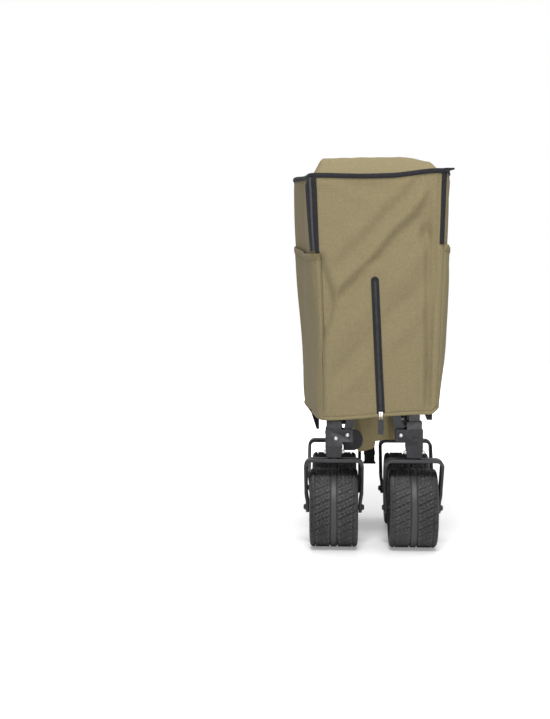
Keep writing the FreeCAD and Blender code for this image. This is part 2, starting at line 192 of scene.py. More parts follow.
def hardMaterial(name, dark, light, roughness, metallic=0.0, gloss=0.28, fine=900.0, depth=0.0001, edgeHighlight=0.0):
    material, nodes, links, shader = startMaterial(name)
    cloud = placeGroup(nodes, links, grain, Fine=fine)
    colour = mixColours(nodes, links, cloud.outputs["Patch"], dark, light)
    # painted highlight: the convex edges are painted a lighter grey, as strong as given
    if edgeHighlight:
        edgeLit = placeGroup(nodes, links, paintedEdgeHighlight)
        mix = nodes.new("ShaderNodeMix")
        mix.data_type = "RGBA"
        strength = math2(nodes, links, "MULTIPLY", edgeLit.outputs["Mask"], edgeHighlight)
        links.new(strength, mix.inputs["Factor"])
        links.new(colour, mix.inputs["A"])
        mix.inputs["B"].default_value = (0.22, 0.22, 0.23, 1)
        colour = mix.outputs["Result"]
    links.new(colour, shader.inputs["Base Color"])
    spread = math2(nodes, links, "MULTIPLY", cloud.outputs["Patch"], 0.2)
    links.new(math2(nodes, links, "ADD", spread, roughness - 0.1), shader.inputs["Roughness"])
    shader.inputs["Metallic"].default_value = metallic
    shader.inputs["Specular IOR Level"].default_value = gloss
    bumpFrom(nodes, links, shader, cloud.outputs["Height"], 0.35, depth)
    return material


khaki = clothMaterial("khakiCloth", (0.184, 0.151, 0.081), (0.238, 0.200, 0.113), 420.0, 0.03, 0.0003)
# painted light: the tub's khaki is painted much lighter than the cover's, standing in for the light its shade under
# the cover takes away
tubKhakiPaintedLight = clothMaterial("tubKhakiPaintedLight", (0.29, 0.235, 0.120), (0.37, 0.305, 0.165), 420.0, 0.03, 0.0003)
blackTape = clothMaterial("blackTape", (0.012, 0.012, 0.014), (0.030, 0.030, 0.034), 700.0, 0.02, 0.0003)
# painted highlight: a grey tape painted where the black corner strips show a shine down their middle
paintedHighlightTape = clothMaterial("paintedHighlightTape", (0.05, 0.05, 0.054), (0.09, 0.09, 0.095), 700.0, 0.02, 0.0003)
# black steel and moulding carry the painted edge highlight
blackSteel = hardMaterial("blackSteel", (0.012, 0.012, 0.014), (0.022, 0.022, 0.025), 0.38, gloss=0.45, edgeHighlight=0.4)
moulding = hardMaterial("blackMoulding", (0.014, 0.014, 0.017), (0.026, 0.026, 0.030), 0.55, edgeHighlight=0.3)
rubber = hardMaterial("tyreRubber", (0.022, 0.022, 0.024), (0.046, 0.046, 0.048), 0.52, gloss=0.55, fine=500.0,
                      depth=0.0003)
rimPlastic = hardMaterial("rimPlastic", (0.012, 0.012, 0.013), (0.024, 0.024, 0.026), 0.5)
greyPlastic = hardMaterial("bearingPlastic", (0.30, 0.30, 0.29), (0.42, 0.42, 0.40), 0.5)
pullPlastic = hardMaterial("pullPlastic", (0.028, 0.028, 0.034), (0.045, 0.045, 0.053), 0.5)
brightSteel = hardMaterial("brightSteel", (0.70, 0.70, 0.70), (0.90, 0.90, 0.89), 0.35, metallic=0.7)
nickel = hardMaterial("nickel", (0.72, 0.70, 0.64), (0.92, 0.9, 0.85), 0.28, metallic=1.0)
darkSteel = hardMaterial("darkSteel", (0.03, 0.03, 0.032), (0.07, 0.07, 0.072), 0.4, metallic=0.8)
tubeMetal = hardMaterial("tubeMetal", (0.45, 0.45, 0.46), (0.6, 0.6, 0.61), 0.35, metallic=1.0)
softGrip = hardMaterial("softGrip", (0.014, 0.014, 0.014), (0.028, 0.028, 0.028), 0.8, fine=1400.0, depth=0.0003)
print("materials made")


def finishPiece(name, work, material, body, replaced=(), smooth=True):
    mesh = bpy.data.meshes.new(name)
    work.to_mesh(mesh)
    work.free()
    piece = bpy.data.objects.new(name, mesh)
    scene.collection.objects.link(piece)
    mesh.materials.append(material)
    for face in mesh.polygons:
        face.use_smooth = smooth
    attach(piece, body)
    if replaced:
        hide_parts(*replaced)
    return piece


def addSolidify(piece, thickness, offset=-1.0):
    shell = piece.modifiers.new("thickness", "SOLIDIFY")
    shell.thickness = thickness
    shell.offset = offset


def bevelAll(work, width, segments=2, sharpest=0.5):
    edges = [e for e in work.edges if len(e.link_faces) == 2 and e.calc_face_angle(0) > sharpest]
    bmesh.ops.bevel(work, geom=edges, offset=width, offset_type="OFFSET", segments=segments,
                    profile=0.5, affect="EDGES", material=-1, clamp_overlap=True)


# a grid whose vertices go from 0 to 1 both ways, then where placeVertex puts them
def gridWork(columns, rows, placeVertex):
    work = bmesh.new()
    bmesh.ops.create_grid(work, x_segments=columns, y_segments=rows, size=0.5)
    for vertex in work.verts:
        vertex.co = placeVertex(vertex.co.x + 0.5, vertex.co.y + 0.5)
    return work


def addBox(work, low, high):
    made = bmesh.ops.create_cube(work, size=1.0)["verts"]
    centre = (Vector(low) + Vector(high)) / 2
    size = Vector(high) - Vector(low)
    bmesh.ops.scale(work, vec=size, verts=made)
    bmesh.ops.translate(work, vec=centre, verts=made)
    return made


def addRod(work, start, end, radiusA, radiusB, sides=32):
    start, end = Vector(start), Vector(end)
    run = end - start
    turn = run.to_track_quat("Z", "Y").to_matrix().to_4x4()
    place = Matrix.Translation((start + end) / 2) @ turn
    return bmesh.ops.create_cone(work, cap_ends=True, segments=sides, radius1=radiusA, radius2=radiusB,
                                 depth=run.length, matrix=place)["verts"]


# a copy of a frame part with its sharp edges rounded, which stands for that part
def softened(node, material, width):
    source = bpy.data.objects[node]
    work = bmesh.new()
    work.from_mesh(source.data)
    bmesh.ops.remove_doubles(work, verts=work.verts[:], dist=0.00002)
    bmesh.ops.dissolve_limit(work, angle_limit=0.02, verts=work.verts[:], edges=work.edges[:])
    piece = finishPiece(node + "_finished", work, material, bodyOf[node], (node,), smooth=False)
    edge = piece.modifiers.new("edges", "BEVEL")
    edge.width = width
    edge.segments = 2
    edge.limit_method = "ANGLE"
    edge.angle_limit = 0.6


slotOf = {part["node"]: part["material_slot"] for part in frame["record"]["subparts"]}
bodyOf = {member: body for body, members in frame["record"]["behaviour"]["bodies"].items() for member in members}
jointPlace = {joint["name"]: Vector(joint["pos_m"]) for joint in frame["record"]["behaviour"]["joints"]
              if "pos_m" in joint}


view = {"place": (-0.0685, -2.571, 0.520), "yaw": 3.1, "pitch": 3.23, "lens": 60.1}


def buildCamera():
    data = bpy.data.cameras.new("camera")
    data.lens = view["lens"]
    data.sensor_width = 36.0
    camera = bpy.data.objects.new("camera", data)
    camera.location = view["place"]
    camera.rotation_euler = (math.radians(90 - view["pitch"]), 0, math.radians(view["yaw"]))
    scene.collection.objects.link(camera)
    scene.camera = camera


def areaLight(name, place, target, size, power):
    data = bpy.data.lights.new(name, "AREA")
    data.shape = "RECTANGLE"
    data.size, data.size_y = size
    data.energy = power
    lamp = bpy.data.objects.new(name, data)
    lamp.location = place
    lamp.rotation_euler = (Vector(target) - Vector(place)).to_track_quat("-Z", "Y").to_euler()
    scene.collection.objects.link(lamp)


studio = {
    "ambient": 0.50, "aim": (0, 0, 0.4),
    "floor": {"size": 6.0, "tone": 0.93, "roughness": 0.28, "glow": (0.24, 1.0), "reach": (0.45, 1.9)},
    "lamps": (("key", (-0.1, -1.8, 2.6), (0.7, 0.7), 58), ("fill", (0.5, -2.3, 0.35), (1.2, 0.7), 7),
              ("over", (0.2, 0.2, 3.0), (2.5, 2.5), 38)),
}


def buildStudio():
    work = bmesh.new()
    bmesh.ops.create_grid(work, x_segments=1, y_segments=1, size=studio["floor"]["size"])
    mesh = bpy.data.meshes.new("floor")
    work.to_mesh(mesh)
    work.free()
    floor = bpy.data.objects.new("floor", mesh)
    scene.collection.objects.link(floor)
    material, nodes, links, shader = startMaterial("paleFloor")
    tone = studio["floor"]["tone"]
    shader.inputs["Base Color"].default_value = (tone, tone, tone, 1)
    shader.inputs["Roughness"].default_value = studio["floor"]["roughness"]
    shader.inputs["Emission Color"].default_value = (1, 1, 1, 1)
    away = nodes.new("ShaderNodeVectorMath")  # painted glow: the floor is painted brighter away from the wheels, up to white, and left darker round them
    away.operation = "LENGTH"
    coordinates = nodes.new("ShaderNodeTexCoord")
    links.new(coordinates.outputs["Object"], away.inputs[0])
    fade = nodes.new("ShaderNodeMapRange")
    fade.interpolation_type = "SMOOTHSTEP"
    fade.inputs["From Min"].default_value, fade.inputs["From Max"].default_value = studio["floor"]["reach"]
    fade.inputs["To Min"].default_value, fade.inputs["To Max"].default_value = studio["floor"]["glow"]
    links.new(away.outputs["Value"], fade.inputs["Value"])
    seen = nodes.new("ShaderNodeLightPath")
    glow = math2(nodes, links, "MULTIPLY", fade.outputs["Result"], seen.outputs["Is Camera Ray"])
    links.new(glow, shader.inputs["Emission Strength"])  # the glow is only seen by the lens and lights nothing
    mesh.materials.append(material)
    world = bpy.data.worlds.new("studio")
    scene.world = world
    world.use_nodes = True
    nodes, links = world.node_tree.nodes, world.node_tree.links
    soft = nodes["Background"]
    soft.inputs["Color"].default_value = (1, 1, 1, 1)
    soft.inputs["Strength"].default_value = studio["ambient"]
    paper = nodes.new("ShaderNodeBackground")  # what the lens sees behind the floor
    paper.inputs["Color"].default_value = (1, 1, 1, 1)
    path = nodes.new("ShaderNodeLightPath")
    mix = nodes.new("ShaderNodeMixShader")
    links.new(path.outputs["Is Camera Ray"], mix.inputs["Fac"])
    links.new(soft.outputs["Background"], mix.inputs[1])
    links.new(paper.outputs["Background"], mix.inputs[2])
    links.new(mix.outputs["Shader"], nodes["World Output"].inputs["Surface"])
    for name, place, size, power in studio["lamps"]:
        areaLight(name, place, studio["aim"], size, power)
    scene.view_settings.view_transform = "Standard"


buildCamera()
buildStudio()
print("camera and studio made")


rearLow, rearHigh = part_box("cover_rear_panel")
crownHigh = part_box("cover_top_panel")[1]
cover = {
    "hem": rearLow[2], "top": rearHigh[2], "rearY": rearLow[1], "frontY": crownHigh[1], "chamfer": 0.040,
    "left": (-0.108, -0.128), "right": (0.126, 0.143), "half": (0.150, 0.176),  # at the hem and at the top
    "cloth": 0.0016, "inset": 0.0012, "columns": 300, "rows": 120, "wrinkle": 0.0016, "body": "cover",
    "topLift": (0.023, 0.034), "topRise": 0.0075, "topSag": 0.0025, "hemRise": 0.0125, "hemCut": 0.014,
    "cornerReach": 0.012,
}
zipper = {"top": (-0.0005, 0.549), "low": (0.0128, 0.273), "wide": 0.0150, "stand": 0.0006,
          "teeth": 128, "toothWide": 0.0048, "toothTall": 0.0014}


def blendValue(pair, share):
    return pair[0] + (pair[1] - pair[0]) * share


# corners of the outline at a height, 0 at the hem and 1 at the top, as they run round
def coverPlan(share):
    left, right, half = (blendValue(cover[key], share) for key in ("left", "right", "half"))
    cut = cover["chamfer"]
    return [Vector((left, cover["rearY"], 0)), Vector((right, cover["rearY"], 0)),
            Vector((half, cover["frontY"] - cut, 0)), Vector((half - cut, cover["frontY"], 0)),
            Vector((-half + cut, cover["frontY"], 0)), Vector((-half, cover["frontY"] - cut, 0))]


def smoothStep(low, high, value):
    share = min(1.0, max(0.0, (value - low) / (high - low)))
    return share * share * (3 - 2 * share)


def bell(value, centre, width):
    return math.exp(-((value - centre) / width) ** 2)


# the top edge sags a little along the rear, then climbs towards the handle end
def topEdgeLift(point):
    away = smoothStep(cover["rearY"] + 0.01, 0.20, point.y)
    lift = blendValue(cover["topLift"], smoothStep(-0.12, 0.12, point.x)) * away
    rise = cover["topRise"] * smoothStep(0.03, 0.125, point.x) - cover["topSag"] * bell(point.x, -0.02, 0.07)
    return lift + rise * (1 - away)


# the hem hangs lowest at the left rear corner, is drawn up to the right and cut round there
def hemLift(point):
    near = smoothStep(0.05, -0.19, point.y)
    lift = near * cover["hemRise"] * smoothStep(-0.10, 0.10, point.x)
    return lift + cover["hemCut"] * smoothStep(0.108, 0.134, point.x) * smoothStep(0.12, -0.15, point.y)


sideSpan = (0.0, 0.19, 0.464, 0.506, 0.686, 0.728, 1.0)  # share of the way round at each corner


def outlinePoint(turn, share):
    plan = coverPlan(share)
    for index in range(6):
        if turn <= sideSpan[index + 1] or index == 5:
            along = (turn - sideSpan[index]) / (sideSpan[index + 1] - sideSpan[index])
            start, end = plan[index], plan[(index + 1) % 6]
            point = start.lerp(end, along)
            normal = Vector((end.y - start.y, start.x - end.x, 0)).normalized()
            break
    return point, normal


# the outline with its corners rounded, by averaging a short stretch of it
def roundedPoint(turn, share):
    steps = (-1.0, -0.5, 0.0, 0.5, 1.0)
    places = [outlinePoint((turn + cover["cornerReach"] * step) % 1.0, share) for step in steps]
    point = sum((p for p, n in places), Vector()) / len(steps)
    normal = sum((n for p, n in places), Vector()).normalized()
    return point, normal


# long: place, width and depth of each slanting fold; dents: depth, x, its width, height, its width
folds = {
    "lean": 1.02, "waver": 0.010,
    "long": ((0.606, 0.014, 0.0066), (0.577, 0.014, -0.0062), (0.500, 0.026, 0.0045), (0.440, 0.020, -0.0045),
             (0.385, 0.020, 0.0036), (0.680, 0.024, 0.0040), (0.650, 0.015, -0.0022)),
    "dents": ((-0.0120, 0.096, 0.009, 0.634, 0.022), (-0.0030, -0.02, 0.07, 0.725, 0.02)),
    "rightValley": 0.0085, "rightRidge": 0.0030, "rightCrease": 0.0055,
    "leftStrip": 0.0110, "leftRidge": 0.0022, "upperLeft": 0.0022, "sides": 0.004,
}


# how far the cloth stands in (negative) or out at a place, from its long soft folds
def foldDepth(point, height):
    x, y = point.x, point.y
    rear = smoothStep(cover["rearY"] + 0.035, cover["rearY"] + 0.006, y)
    waver = folds["waver"] * noise.noise(Vector((x * 14, 0.0, height * 14)))
    slope = height - folds["lean"] * x + waver  # the long folds run from the upper right to the lower left
    length = smoothStep(-0.100, -0.06, x) * smoothStep(0.112, 0.085, x)
    depth = sum(stand * bell(slope, place, width) * length for place, width, stand in folds["long"])
    for stand, place, width, level, tall in folds["dents"]:
        depth += stand * bell(x, place, width) * bell(height, level, tall)
    depth -= folds["rightValley"] * bell(x, 0.105, 0.006) * smoothStep(0.76, 0.60, height)
    depth += folds["rightRidge"] * bell(x, 0.090, 0.006) * smoothStep(0.60, 0.50, height)
    crease = bell(x - (height - 0.60) * 0.05, 0.119, 0.003)
    depth -= folds["rightCrease"] * crease * smoothStep(0.29, 0.36, height)
    inner = -0.100 + 0.022 * bell(height, 0.500, 0.055)  # the left corner's strip, widest half way up
    below = smoothStep(0.602, 0.585, height)
    depth -= folds["leftStrip"] * smoothStep(inner + 0.004, inner - 0.010, x) * below
    depth += folds["leftRidge"] * bell(x, inner + 0.010, 0.007) * below
    depth += folds["upperLeft"] * bell(height + 0.35 * x, 0.700, 0.012) * smoothStep(0.02, -0.03, x)
    depth *= rear
    depth += (1 - rear) * folds["sides"] * math.sin(y * 26 + height * 9 + x * 8) * smoothStep(0.28, 0.45, height)
    depth += cover["wrinkle"] * 1.8 * noise.noise(Vector((x * 7, y * 7, height * 3.2)))
    depth += cover["wrinkle"] * noise.noise(Vector((x * 22 + height * 8, y * 22, height * 9 - x * 10)))
    up = (height - zipper["low"][1]) / (zipper["top"][1] - zipper["low"][1])
    zipX = blendValue((zipper["low"][0], zipper["top"][0]), up)
    stiff = rear * bell(x, zipX, 0.020) * smoothStep(0.585, 0.556, height)  # the zip tape keeps the cloth flat
    return depth * (1 - stiff)


def coverPoint(turn, share, stand=0.0):
    point, normal = roundedPoint(turn % 1.0, share)
    height = cover["hem"] + (cover["top"] - cover["hem"]) * share
    tight = 0.25 + 0.75 * smoothStep(0.0, 0.06, share) * smoothStep(1.0, 0.95, share)
    point = point + normal * (foldDepth(point, height) * tight - cover["inset"] + stand)
    lift = topEdgeLift(point) * smoothStep(0.6, 1.0, share) + hemLift(point) * smoothStep(0.25, 0.0, share)
    return Vector((point.x, point.y, height + lift))


# where on the way round the rear panel a given X lies
def turnAtX(x, share):
    plan = coverPlan(share)
    return sideSpan[1] * (x - plan[0].x) / (plan[1].x - plan[0].x)


def shareAt(height):
    return (height - cover["hem"]) / (cover["top"] - cover["hem"])


def closeSeam(work, distance=0.00005):
    bmesh.ops.remove_doubles(work, verts=work.verts[:], dist=distance)
    bmesh.ops.recalc_face_normals(work, faces=work.faces[:])


def buildShell():
    work = gridWork(cover["columns"], cover["rows"], coverPoint)
    closeSeam(work)
    piece = finishPiece("coverShell", work, khaki, cover["body"],
                        ("cover_rear_panel", "cover_right_panel", "cover_front_panel", "cover_left_panel"))
    addSolidify(piece, cover["cloth"])
    return piece


crown = {"high": 0.7885, "leftDrop": 0.0028, "rightDrop": 0.0100, "middle": (0.004, 0.010), "seam": 0.0025,
         "flat": 0.012, "rows": 44, "columns": 240, "wrinkle": 0.0018}


# a place on the top panel: inward is 0 at the edge and 1 at the middle
def crownPoint(turn, inward):
    edge = coverPoint(turn, 1.0, 0.0)
    middle = Vector((*crown["middle"], edge.z))
    point = edge.lerp(middle, inward ** 1.15)
    across = smoothStep(-0.128, -0.102, point.x) * smoothStep(0.130, 0.106, point.x)
    down = smoothStep(cover["rearY"] + 0.002, cover["rearY"] + 0.050, point.y) * smoothStep(0.207, 0.13, point.y)
    flat = blendValue((edge.z, cover["top"] + crown["flat"]), smoothStep(0.0, 0.6, inward))
    target = crown["high"] - crown["leftDrop"] * smoothStep(0.02, -0.09, point.x)
    target -= crown["rightDrop"] * smoothStep(0.045, 0.118, point.x)
    wave = noise.noise(Vector((point.x * 16, point.y * 9, 2.0)))
    fine = noise.noise(Vector((point.x * 38 + point.y * 12, point.y * 16, 5.0)))
    target += crown["wrinkle"] * (wave + fine * 0.6)
    level = max(flat, blendValue((flat, target), across * down)) - crown["seam"] * bell(inward, 0.05, 0.03)
    return Vector((point.x, point.y, min(level, crownHigh[2] - 0.0005)))


def buildCrown():
    work = gridWork(crown["columns"], crown["rows"], crownPoint)
    closeSeam(work, 0.0001)
    piece = finishPiece("coverCrown", work, khaki, cover["body"], ("cover_top_panel",))
    addSolidify(piece, cover["cloth"])
    return piece


# a tape that lies on the cover; its width may be either way
def tapeOnCover(name, material, turns, shares, columns, rows, stand, bulge, thickness):
    def place(u, v):
        across = v if columns > rows else u
        return coverPoint(blendValue(turns, u), blendValue(shares, v), stand + bulge * math.sin(across * math.pi))
    work = gridWork(columns, rows, place)
    closeSeam(work)
    piece = finishPiece(name, work, material, cover["body"])
    addSolidify(piece, thickness)
    return piece


# the loose folded end of the top binding, which points outwards at the right rear corner
def buildBindingTip():
    root = coverPoint(0.184, shareAt(0.749), 0.003)
    tip = root + Vector((0.021, 0.006, 0.004))

    def place(u, v):
        centre = root.lerp(tip, u)
        tall = blendValue((0.0085, 0.0012), u ** 1.3)
        return centre + Vector((0, -0.0012 * math.sin(u * 5) + 0.001 * math.sin(v * math.pi), (v - 0.5) * tall))
    work = gridWork(14, 6, place)
    piece = finishPiece("bindingTip", work, blackTape, cover["body"])
    addSolidify(piece, 0.0024, 0.0)
    return piece


binding = {
    "low": 0.7440, "high": 0.7535, "stand": 0.0012, "bulge": 0.0016, "thick": 0.0016,
    "strips": {"top": 0.745, "stand": 0.0010, "bulge": 0.0014, "thick": 0.0014},
    "places": (("cornerTapeOuter", blackTape, -0.036, -0.010, 0.602),
               # the middle strip is grey as a painted highlight between the black ones
               ("cornerTapeMiddleHighlight", paintedHighlightTape, -0.010, -0.0025, 0.600),
               ("cornerTapeInner", blackTape, -0.0025, 0.0080, 0.596),
               ("cornerTapeRight", blackTape, 0.1815, 0.1925, 0.612)),
}


def buildBinding():
    ring = tapeOnCover("topBinding", blackTape, (0.0, 1.0), (shareAt(binding["low"]), shareAt(binding["high"])),
                       320, 8, binding["stand"], binding["bulge"], binding["thick"])
    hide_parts("cover_edge_binding")
    made = [ring]
    strip = binding["strips"]
    for name, material, start, end, low in binding["places"]:
        made.append(tapeOnCover(name, material, (start, end), (shareAt(low), shareAt(strip["top"])), 8, 90,
                                strip["stand"], strip["bulge"], strip["thick"]))
    made.append(buildBindingTip())
    return made


pocket = {"sewn": 0.0005, "stand": 0.0022, "bulge": 0.0030, "rim": 0.012, "sag": 0.005, "cloth": 0.0013,
          "rimCloth": 0.0010, "cells": 90,
          "left": {"turns": (0.742, 1.0075), "mouth": (0.6175, 0.5950)},
          "right": {"turns": (0.192, 0.452), "mouth": (0.6120, 0.6170)}}


def buildPocket(side):
    turns, mouth = pocket[side.lower()]["turns"], pocket[side.lower()]["mouth"]

    def skin(u, height, extra):
        full = math.sin(u * math.pi) ** 0.6
        sewn = smoothStep(0.0, 0.05, u) * smoothStep(1.0, 0.95, u)  # flat where its sides are sewn down
        stand = blendValue((pocket["sewn"], pocket["stand"]), sewn) + pocket["bulge"] * full
        return coverPoint(blendValue(turns, u), shareAt(height), stand + extra)

    def edge(u):
        return blendValue(mouth, u) - pocket["sag"] * math.sin(u * math.pi)

    def place(u, v):
        return skin(u, blendValue((cover["hem"], edge(u)), v), -0.0015 * smoothStep(0.12, 0.0, v))
    work = gridWork(pocket["cells"], pocket["cells"], place)
    bmesh.ops.recalc_face_normals(work, faces=work.faces[:])
    piece = finishPiece("pocket" + side, work, khaki, cover["body"],
                        ("cover_pocket_" + side.lower(),))
    addSolidify(piece, pocket["cloth"], 0.0)

    def rimPlace(u, v):
        return skin(u, edge(u) - pocket["rim"] * (1 - v), 0.0011 + 0.0008 * math.sin(v * math.pi))
    rim = gridWork(pocket["cells"], 8, rimPlace)
    bmesh.ops.recalc_face_normals(rim, faces=rim.faces[:])
    hem = finishPiece("pocketRim" + side, rim, khaki, cover["body"])
    addSolidify(hem, pocket["rimCloth"], 0.0)
    return piece, hem


# turned and stitched hem round the bottom of the cover
def buildHem():
    def place(u, v):
        return coverPoint(u, blendValue((-0.001, 0.012), v), 0.0007 + 0.0010 * math.sin(v * math.pi))
    work = gridWork(260, 6, place)
    closeSeam(work)
    piece = finishPiece("coverHem", work, khaki, cover["body"])
    addSolidify(piece, 0.0012, 0.0)
    return piece


stitch = {"long": 0.0026, "gap": 0.0042, "radius": 0.00032, "girth": 1.36,
          "rows": ((0.0135, 0.0012), (0.979, 0.0006))}  # height share and stand of each row


# rows of short stitches: one along the hem and one under the binding
def buildStitches():
    runs = []
    for share, stand in stitch["rows"]:
        count = int(stitch["girth"] / stitch["gap"])
        long = stitch["long"] / stitch["girth"]
        runs += [((i / count, share), (i / count + long, share), stand) for i in range(count)]
    work = bmesh.new()
    for start, end, stand in runs:
        a, b = coverPoint(start[0], start[1], stand), coverPoint(end[0], end[1], stand)
        addRod(work, a, b, stitch["radius"], stitch["radius"], 5)
    return finishPiece("coverStitches", work, khaki, cover["body"])


def buildCover():
    shell = buildShell()
    top = buildCrown()
    trims = buildBinding()
    left, leftRim = buildPocket("Left")
    right, rightRim = buildPocket("Right")
    hem = buildHem()
    stitches = buildStitches()


buildCover()
print("cover made")


def zipPlace(share, across, stand):
    x = zipper["low"][0] + (zipper["top"][0] - zipper["low"][0]) * share + across
    z = zipper["low"][1] + (zipper["top"][1] - zipper["low"][1]) * share
    height = shareAt(z)
    return coverPoint(turnAtX(x, height), height, stand)


def buildZipTape():
    def place(u, v):
        narrow = math.sqrt(max(0.0, 1 - max(0.0, (v - 0.975) / 0.025) ** 2))  # rounded top end
        across = (u - 0.5) * zipper["wide"] * max(narrow, 0.05)
        ridge = 0.0012 * bell(u, 0.5, 0.12) + 0.0006 * bell(abs(u - 0.5), 0.46, 0.05)
        return zipPlace(v, across, zipper["stand"] + ridge)
    work = gridWork(22, 160, place)
    bmesh.ops.recalc_face_normals(work, faces=work.faces[:])
    piece = finishPiece("zipTape", work, blackTape, cover["body"], ("zip_tape",))
    addSolidify(piece, 0.0009)
    teeth = bmesh.new()
    for index in range(zipper["teeth"]):
        share = 0.03 + 0.94 * index / (zipper["teeth"] - 1)
        half = zipper["toothWide"] / 2
        a, b = zipPlace(share, -half, 0.0021), zipPlace(share, half, 0.0021)
        addRod(teeth, a, b, zipper["toothTall"] / 2, zipper["toothTall"] / 2, 6)
    finishPiece("zipTeeth", teeth, moulding, cover["body"])


def buildZipRunner():
    low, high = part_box("zip_slider")
    centre = [(low[i] + high[i]) / 2 for i in range(3)]
    body = bmesh.new()
    addBox(body, (low[0], high[1] - 0.0038, low[2] + 0.001), (high[0], high[1] - 0.0004, high[2]))
    shoulder = [v for v in body.verts if v.co.z < centre[2]]
    bmesh.ops.scale(body, vec=(0.72, 1, 1), space=Matrix.Translation(-Vector(centre)), verts=shoulder)
    bevelAll(body, 0.0008, 3)
    arch = {"radius": 0.0009, "steps": 10}
    points = []
    for step in range(arch["steps"] + 1):
        angle = math.pi * step / arch["steps"]
        points.append(Vector((centre[0], high[1] - 0.0038 - 0.003 * math.sin(angle),
                              centre[2] + 0.0036 * math.cos(angle) - 0.001)))
    for start, end in zip(points, points[1:]):
        addRod(body, start, end, arch["radius"], arch["radius"], 10)
    finishPiece("zipRunner", body, nickel, "zip_runner", ("zip_slider",), smooth=False)


def buildZipPull():
    low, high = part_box("zip_pull_tab")
    tab = bmesh.new()
    addBox(tab, (low[0], low[1], low[2]), (high[0], high[1], high[2] - 0.0052))
    sides = [e for e in tab.edges if abs((e.verts[0].co - e.verts[1].co).y) > 0.001]
    bmesh.ops.bevel(tab, geom=sides, offset=0.0022, offset_type="OFFSET", segments=5, profile=0.5,
                    affect="EDGES", material=-1)
    faces = [f for f in tab.faces if abs(f.normal.y) > 0.9]
    bmesh.ops.inset_individual(tab, faces=faces, thickness=0.0016, depth=-0.0004)
    finishPiece("zipPullTab", tab, pullPlastic, "zip_pull", ("zip_pull_tab",), smooth=False)
    link = bmesh.new()
    x = (low[0] + high[0]) / 2
    y = (low[1] + high[1]) / 2
    top = high[2] - 0.0004
    arms = [(x - 0.0028, top - 0.0058), (x - 0.0028, top - 0.0012), (x - 0.0018, top),
            (x + 0.0018, top), (x + 0.0028, top - 0.0012), (x + 0.0028, top - 0.0058)]
    for start, end in zip(arms, arms[1:]):
        addRod(link, (start[0], y, start[1]), (end[0], y, end[1]), 0.0006, 0.0006, 10)
    finishPiece("zipPullLink", link, nickel, "zip_pull")


buildZipTape()
buildZipRunner()
buildZipPull()
print("zip made")


# halves and middles of the pouch: at its low point and where it has widened
tub = {"top": 0.728, "low": 0.2190, "point": 0.0245, "widen": (0.225, 0.36), "halfX": (0.043, 0.057),
       "midX": (0.006, 0.0), "midY": (-0.109, -0.009), "halfY": (0.018, 0.114), "corner": 0.72,
       "folds": 6, "gather": 0.10, "ruffle": 0.05, "cloth": 0.0012}


# the bunched tub: a flattened pouch with gathers, drawn in to a slanting point below
def tubPoint(turn, up):
    angle = turn * 2 * math.pi
    floorZ = tub["low"] - tub["point"] * bell(math.cos(angle), -0.62, 0.42)
    z = floorZ + (tub["top"] - floorZ) * up ** 1.4
    grow = smoothStep(*tub["widen"], z)
    halfX = blendValue(tub["halfX"], grow)
    midX = blendValue(tub["midX"], grow)
    midY = blendValue(tub["midY"], grow)
    halfY = blendValue(tub["halfY"], grow)
    gather = 1 + tub["gather"] * math.sin(angle * tub["folds"] + z * 14) * (1 - 0.3 * up)
    gather += tub["ruffle"] * noise.noise(Vector((math.cos(angle) * 2, math.sin(angle) * 2, z * 12)))
    corner = tub["corner"]
    cx = math.copysign(abs(math.cos(angle)) ** corner, math.cos(angle))
    cy = math.copysign(abs(math.sin(angle)) ** corner, math.sin(angle))
    return Vector((midX + halfX * cx * min(gather, 1.05), midY + halfY * cy * min(gather, 1.06), z))


def buildTub():
    work = gridWork(220, 70, tubPoint)
    closeSeam(work, 0.0002)
    rims = [e for e in work.edges if e.is_boundary]
    bottom = [e for e in rims if e.verts[0].co.z < 0.4]
    for step in range(5):  # the cloth turns in under itself and closes
        made = bmesh.ops.extrude_edge_only(work, edges=bottom)["geom"]
        fresh = [g for g in made if isinstance(g, bmesh.types.BMVert)]
        centre = sum((v.co for v in fresh), Vector()) / len(fresh)
        for v in fresh:
            v.co = v.co.lerp(Vector((centre.x, centre.y, v.co.z + 0.004)), 0.35)
        bottom = [g for g in made if isinstance(g, bmesh.types.BMEdge)]
    bmesh.ops.recalc_face_normals(work, faces=work.faces[:])
    piece = finishPiece("tubCloth", work, tubKhakiPaintedLight, "frame", ("tub_fabric",))
    addSolidify(piece, tub["cloth"], 0.0)


buildTub()


# two short webbing ends below the hem: a pointed flap at the left and a small tip at the right
def buildTabs():
    low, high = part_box("cover_hem_tabs")
    leftY, rightY = high[1] - 0.0015, low[1] + 0.0045
    shapes = (("hemTabLeft", low[0], low[0] + 0.019, low[2] + 0.002, high[2] + 0.008, leftY, 0.75),
              ("hemTabRight", high[0] - 0.017, high[0], high[2] + 0.001, high[2] + 0.016, rightY, 0.4))
    for index, (name, x0, x1, z0, z1, y, point) in enumerate(shapes):
        def place(u, v, x0=x0, x1=x1, z0=z0, z1=z1, y=y, point=point):
            lean = blendValue((1.0, u), 1 - point * (1 - v))
            curl = 0.0014 * math.sin(v * 3) + 0.0008 * math.sin(u * math.pi)
            return Vector((blendValue((x0, x1), lean), y + curl, blendValue((z0, z1), v)))
        work = gridWork(8, 14, place)
        replaced = ("cover_hem_tabs",) if index == 0 else ()
        piece = finishPiece(name, work, blackTape, cover["body"], replaced)
        addSolidify(piece, 0.0018, 0.0)


buildTabs()
print("tub and tabs made")


tread = {"radius": 0.080, "half": 0.049, "inner": 0.054, "shoulder": 0.0085, "depth": 0.0042,
         "around": 520, "across": 96, "major": 30, "proud": 0.0006}


